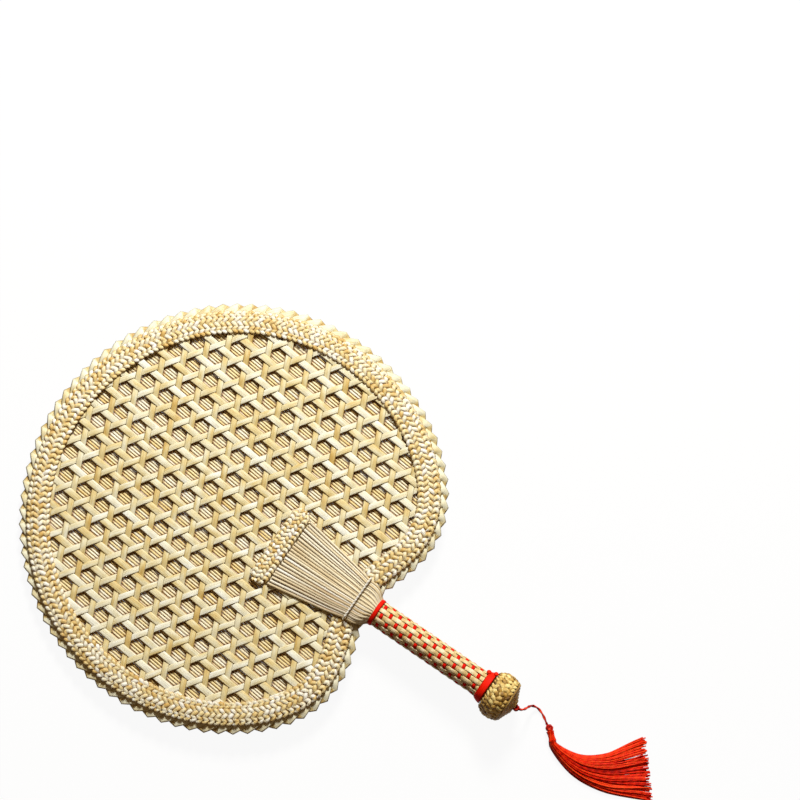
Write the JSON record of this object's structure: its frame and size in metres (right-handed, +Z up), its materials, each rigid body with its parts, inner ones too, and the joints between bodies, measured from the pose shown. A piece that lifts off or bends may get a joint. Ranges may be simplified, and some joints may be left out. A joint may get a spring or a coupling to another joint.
{
  "type": "straw hand fan",
  "caption": "Round hand fan of woven straw with a plaited rim, a bound straw neck, a ribbon-laced round grip, a coiled knob and a tassel on a cord.",
  "frame": {"origin": "on the surface that the fan lies on, below the middle of the fan without its cord and tassel", "axes": "+Z up out of the front face, +Y from the knob of the grip to the far tip of the blade"},
  "size_m": [0.282, 0.4649, 0.0322],
  "materials": {
    "core_straw": "satin golden straw",
    "woven_strip": "satin cream straw strip",
    "edge_plait": "satin plaited straw",
    "border_plait": "satin fine plaited straw",
    "neck_straw": "satin whole straw",
    "grip_core": "dull straw bundle",
    "grip_stake": "satin flattened straw",
    "knob_straw": "dull plaited straw",
    "red_ribbon": "glossy dyed strip",
    "red_cord": "silky twisted cord",
    "red_thread": "silky loose thread",
    "white_thread": "matt cotton thread"
  },
  "bodies": {
    "fan": {"core_straws": "core_straw", "front_weave": "woven_strip", "back_weave": "woven_strip", "edge_plait": "edge_plait", "front_border_plait": "border_plait", "back_border_plait": "border_plait", "front_neck_straws": "neck_straw", "back_neck_straws": "neck_straw", "front_neck_cover": "border_plait", "back_neck_cover": "border_plait", "front_tie_thread": "white_thread", "back_tie_thread": "white_thread", "grip_core": "grip_core", "grip_stake_01": "grip_stake", "grip_stake_02": "grip_stake", "grip_stake_03": "grip_stake", "grip_stake_04": "grip_stake", "grip_stake_05": "grip_stake", "grip_stake_06": "grip_stake", "grip_stake_07": "grip_stake", "grip_stake_08": "grip_stake", "grip_stake_09": "grip_stake", "grip_stake_10": "grip_stake", "grip_stake_11": "grip_stake", "grip_stake_12": "grip_stake", "grip_stake_13": "grip_stake", "grip_stake_14": "grip_stake", "grip_stake_15": "grip_stake", "grip_ribbon": "red_ribbon", "collar_band": "red_ribbon", "lower_band": "red_ribbon", "knob": "knob_straw"},
    "cord_anchor": {"cord_end_knot": "red_cord"},
    "cord": {"tassel_cord": "red_cord"},
    "tassel": {"tassel_knot": "red_cord", "tassel_binding": "red_thread", "tassel_skirt": "red_thread"}
  },
  "joints": [
    {"name": "cord_swing", "type": "hinge", "parent": "fan", "child": "cord_anchor", "pos_m": [0, -0.18008, 0.01653], "axis": [0, 0, 1], "range_deg": [-80, 28]},
    {"name": "cord_lift", "type": "hinge", "parent": "cord_anchor", "child": "cord", "pos_m": [0, -0.18008, 0.01653], "axis": [-1, 0, 0], "range_deg": [0, 60]},
    {"name": "tassel_swing", "type": "hinge", "parent": "cord", "child": "tassel", "pos_m": [0.0021, -0.20518, 0.00285], "axis": [0, 0, 1], "range_deg": [-50, 50]}
  ]
}
